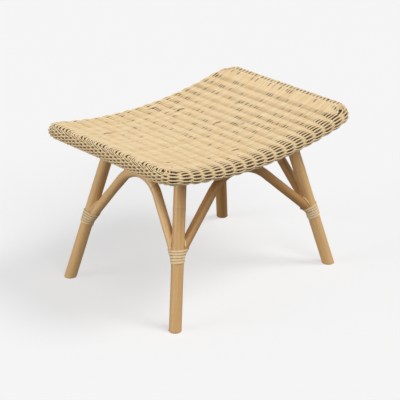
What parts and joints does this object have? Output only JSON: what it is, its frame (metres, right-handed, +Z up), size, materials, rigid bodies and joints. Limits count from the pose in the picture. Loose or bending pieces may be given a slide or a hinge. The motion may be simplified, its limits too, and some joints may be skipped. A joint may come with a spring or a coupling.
{
  "type": "woven rattan footstool",
  "caption": "Rectangular footstool with a concave woven rattan seat on splayed pole legs, braced by bent pole arches bound to the legs with cane.",
  "frame": {"origin": "on the floor, under the middle of the seat", "axes": "+X along the seat's long side, +Y along its short side, +Z up"},
  "size_m": [0.5518, 0.3958, 0.3637],
  "materials": {
    "woven_cane": "peeled rattan core, tightly woven, thin clear varnish",
    "border_cane": "twisted rattan core border, thin clear varnish",
    "rim_rod": "peeled rattan rod, sanded",
    "rattan_pole": "peeled rattan pole, satin varnish",
    "bent_pole": "steam-bent rattan pole, satin varnish",
    "binding_cane": "split cane skin, glossy outer side",
    "dowel_wood": "turned hardwood dowel",
    "screw_steel": "zinc-plated countersunk screw",
    "nail_steel": "drawn wire nail"
  },
  "bodies": {
    "root": {"woven_seat": "woven_cane", "seat_border": "border_cane", "rim_front": "rim_rod", "rim_back": "rim_rod", "rim_left": "rim_rod", "rim_right": "rim_rod", "bearer_left": "rattan_pole", "bearer_middle": "rattan_pole", "bearer_right": "rattan_pole", "apron_front": "rattan_pole", "apron_back": "rattan_pole", "apron_left": "rattan_pole", "apron_right": "rattan_pole", "leg_front_left": "rattan_pole", "leg_back_left": "rattan_pole", "leg_front_right": "rattan_pole", "leg_back_right": "rattan_pole", "brace_front": "bent_pole", "brace_back": "bent_pole", "brace_left": "bent_pole", "brace_right": "bent_pole", "binding_front_left": "binding_cane", "tie_front_left": "binding_cane", "binding_back_left": "binding_cane", "tie_back_left": "binding_cane", "binding_front_right": "binding_cane", "tie_front_right": "binding_cane", "binding_back_right": "binding_cane", "tie_back_right": "binding_cane", "rim_dowel_front_left": "dowel_wood", "rim_dowel_back_left": "dowel_wood", "rim_dowel_front_right": "dowel_wood", "rim_dowel_back_right": "dowel_wood", "bearer_screw_left_front": "screw_steel", "bearer_screw_left_back": "screw_steel", "bearer_screw_middle_front": "screw_steel", "bearer_screw_middle_back": "screw_steel", "bearer_screw_right_front": "screw_steel", "bearer_screw_right_back": "screw_steel", "leg_screw_front_left": "screw_steel", "leg_screw_back_left": "screw_steel", "leg_screw_front_right": "screw_steel", "leg_screw_back_right": "screw_steel", "brace_screw_front": "screw_steel", "brace_screw_back": "screw_steel", "brace_screw_left": "screw_steel", "brace_screw_right": "screw_steel", "brace_nail_front_front_left": "nail_steel", "brace_nail_front_front_right": "nail_steel", "brace_nail_back_back_left": "nail_steel", "brace_nail_back_back_right": "nail_steel", "brace_nail_left_front_left": "nail_steel", "brace_nail_left_back_left": "nail_steel", "brace_nail_right_front_right": "nail_steel", "brace_nail_right_back_right": "nail_steel"}
  },
  "joints": []
}
